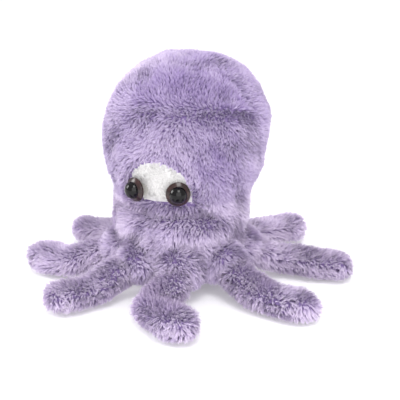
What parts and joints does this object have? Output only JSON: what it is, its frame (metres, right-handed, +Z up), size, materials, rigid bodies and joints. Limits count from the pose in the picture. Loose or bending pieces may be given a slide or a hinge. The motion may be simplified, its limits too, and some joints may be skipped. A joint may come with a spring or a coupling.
{
  "type": "plush octopus toy",
  "caption": "Soft plush octopus with a large stuffed head that nods on its neck, domed safety eyes on a white face patch, and stuffed arms that lift from a round skirt.",
  "frame": {"origin": "centre of the flat underside of the base panel, on the surface that the toy stands on", "axes": "+Z up through the head, -Y out through the face, +X to the toy's own left side"},
  "size_m": [0.2005, 0.1974, 0.1374],
  "materials": {
    "lilac_plush": "brushed pile, 5 to 8 mm, paler at the tips",
    "white_fleece": "short smooth fleece",
    "polyester_filling": "loose fibre",
    "brown_eye_plastic": "polished translucent brown",
    "black_eye_plastic": "polished",
    "washer_plastic": "moulded"
  },
  "bodies": {
    "skirt": {"skirt_front_left": "lilac_plush", "skirt_front_right": "lilac_plush", "skirt_back_left": "lilac_plush", "skirt_back_right": "lilac_plush", "skirt_stuffing": "polyester_filling", "base_panel": "lilac_plush"},
    "head": {"crown_panel": "lilac_plush", "forehead_panel": "lilac_plush", "back_left_panel": "lilac_plush", "back_right_panel": "lilac_plush", "face_patch": "white_fleece", "head_stuffing": "polyester_filling", "left_eye_iris": "brown_eye_plastic", "left_eye_pupil": "black_eye_plastic", "left_eye_post": "black_eye_plastic", "left_eye_washer": "washer_plastic", "right_eye_iris": "brown_eye_plastic", "right_eye_pupil": "black_eye_plastic", "right_eye_post": "black_eye_plastic", "right_eye_washer": "washer_plastic"},
    "left_arm_1": {"left_arm_1_upper_skin": "lilac_plush", "left_arm_1_lower_skin": "lilac_plush", "left_arm_1_stuffing": "polyester_filling"},
    "left_arm_2": {"left_arm_2_upper_skin": "lilac_plush", "left_arm_2_lower_skin": "lilac_plush", "left_arm_2_stuffing": "polyester_filling"},
    "left_arm_3": {"left_arm_3_upper_skin": "lilac_plush", "left_arm_3_lower_skin": "lilac_plush", "left_arm_3_stuffing": "polyester_filling"},
    "left_arm_4": {"left_arm_4_upper_skin": "lilac_plush", "left_arm_4_lower_skin": "lilac_plush", "left_arm_4_stuffing": "polyester_filling"},
    "right_arm_1": {"right_arm_1_upper_skin": "lilac_plush", "right_arm_1_lower_skin": "lilac_plush", "right_arm_1_stuffing": "polyester_filling"},
    "right_arm_2": {"right_arm_2_upper_skin": "lilac_plush", "right_arm_2_lower_skin": "lilac_plush", "right_arm_2_stuffing": "polyester_filling"},
    "right_arm_3": {"right_arm_3_upper_skin": "lilac_plush", "right_arm_3_lower_skin": "lilac_plush", "right_arm_3_stuffing": "polyester_filling"},
    "right_arm_4": {"right_arm_4_upper_skin": "lilac_plush", "right_arm_4_lower_skin": "lilac_plush", "right_arm_4_stuffing": "polyester_filling"}
  },
  "joints": [
    {"name": "head_nod", "type": "hinge", "parent": "skirt", "child": "head", "pos_m": [0, 0, 0.044], "axis": [1, 0, 0], "range_deg": [-12, 12], "stiffness_Nm_per_rad": 1.2},
    {"name": "left_arm_1_lift", "type": "hinge", "parent": "skirt", "child": "left_arm_1", "pos_m": [0.01378, -0.03326, 0.0185], "axis": [-0.9239, -0.3827, 0], "range_deg": [0, 45], "stiffness_Nm_per_rad": 0.02},
    {"name": "left_arm_2_lift", "type": "hinge", "parent": "skirt", "child": "left_arm_2", "pos_m": [0.03326, -0.01378, 0.0185], "axis": [-0.3827, -0.9239, 0], "range_deg": [0, 45], "stiffness_Nm_per_rad": 0.02},
    {"name": "left_arm_3_lift", "type": "hinge", "parent": "skirt", "child": "left_arm_3", "pos_m": [0.03326, 0.01378, 0.0185], "axis": [0.3827, -0.9239, 0], "range_deg": [0, 45], "stiffness_Nm_per_rad": 0.02},
    {"name": "left_arm_4_lift", "type": "hinge", "parent": "skirt", "child": "left_arm_4", "pos_m": [0.01378, 0.03326, 0.0185], "axis": [0.9239, -0.3827, 0], "range_deg": [0, 45], "stiffness_Nm_per_rad": 0.02},
    {"name": "right_arm_1_lift", "type": "hinge", "parent": "skirt", "child": "right_arm_1", "pos_m": [-0.01378, -0.03326, 0.0185], "axis": [-0.9239, 0.3827, 0], "range_deg": [0, 45], "stiffness_Nm_per_rad": 0.02},
    {"name": "right_arm_2_lift", "type": "hinge", "parent": "skirt", "child": "right_arm_2", "pos_m": [-0.03326, -0.01378, 0.0185], "axis": [-0.3827, 0.9239, 0], "range_deg": [0, 45], "stiffness_Nm_per_rad": 0.02},
    {"name": "right_arm_3_lift", "type": "hinge", "parent": "skirt", "child": "right_arm_3", "pos_m": [-0.03326, 0.01378, 0.0185], "axis": [0.3827, 0.9239, 0], "range_deg": [0, 45], "stiffness_Nm_per_rad": 0.02},
    {"name": "right_arm_4_lift", "type": "hinge", "parent": "skirt", "child": "right_arm_4", "pos_m": [-0.01378, 0.03326, 0.0185], "axis": [0.9239, 0.3827, 0], "range_deg": [0, 45], "stiffness_Nm_per_rad": 0.02}
  ]
}
